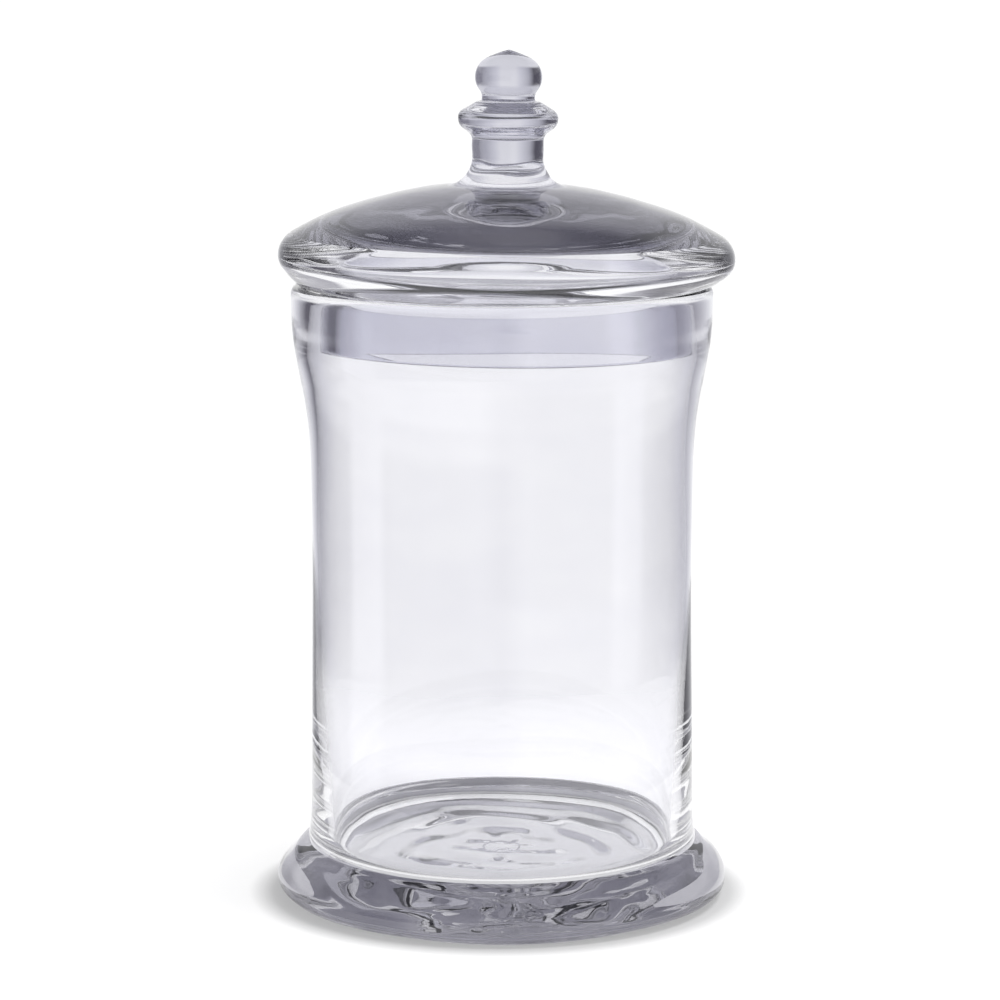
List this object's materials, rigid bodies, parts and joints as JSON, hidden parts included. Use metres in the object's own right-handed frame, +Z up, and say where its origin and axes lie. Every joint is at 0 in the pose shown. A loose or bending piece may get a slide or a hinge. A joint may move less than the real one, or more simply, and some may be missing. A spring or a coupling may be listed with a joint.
{
  "type": "glass specimen jar",
  "caption": "Tall round clear glass display jar with a heavy disc foot, a waisted wall flaring to a thick rim, and a lift-off domed lid with a beaded flange and ball knob.",
  "frame": {"origin": "middle of the foot's flat ring, on the surface the jar stands on", "axes": "+Z up along the jar's axis, the way the lid lifts; X and Y are level and alike, because every piece is round"},
  "size_m": [0.1604, 0.1604, 0.3],
  "materials": {
    "jar_glass": "polished, clear with a faint lavender-grey cast",
    "lid_glass": "polished, clear with a faint lavender-grey cast"
  },
  "bodies": {
    "jar": {"jar_body": "jar_glass", "jar_foot": "jar_glass"},
    "lid": {"lid_dome": "lid_glass", "lid_flange": "lid_glass", "lid_skirt": "lid_glass", "knob_neck": "lid_glass", "knob_collar": "lid_glass", "knob_ball": "lid_glass"}
  },
  "joints": [
    {"name": "lid_lift", "type": "slide", "parent": "jar", "child": "lid", "axis": [0, 0, 1], "range_m": [0, 0.06]}
  ]
}
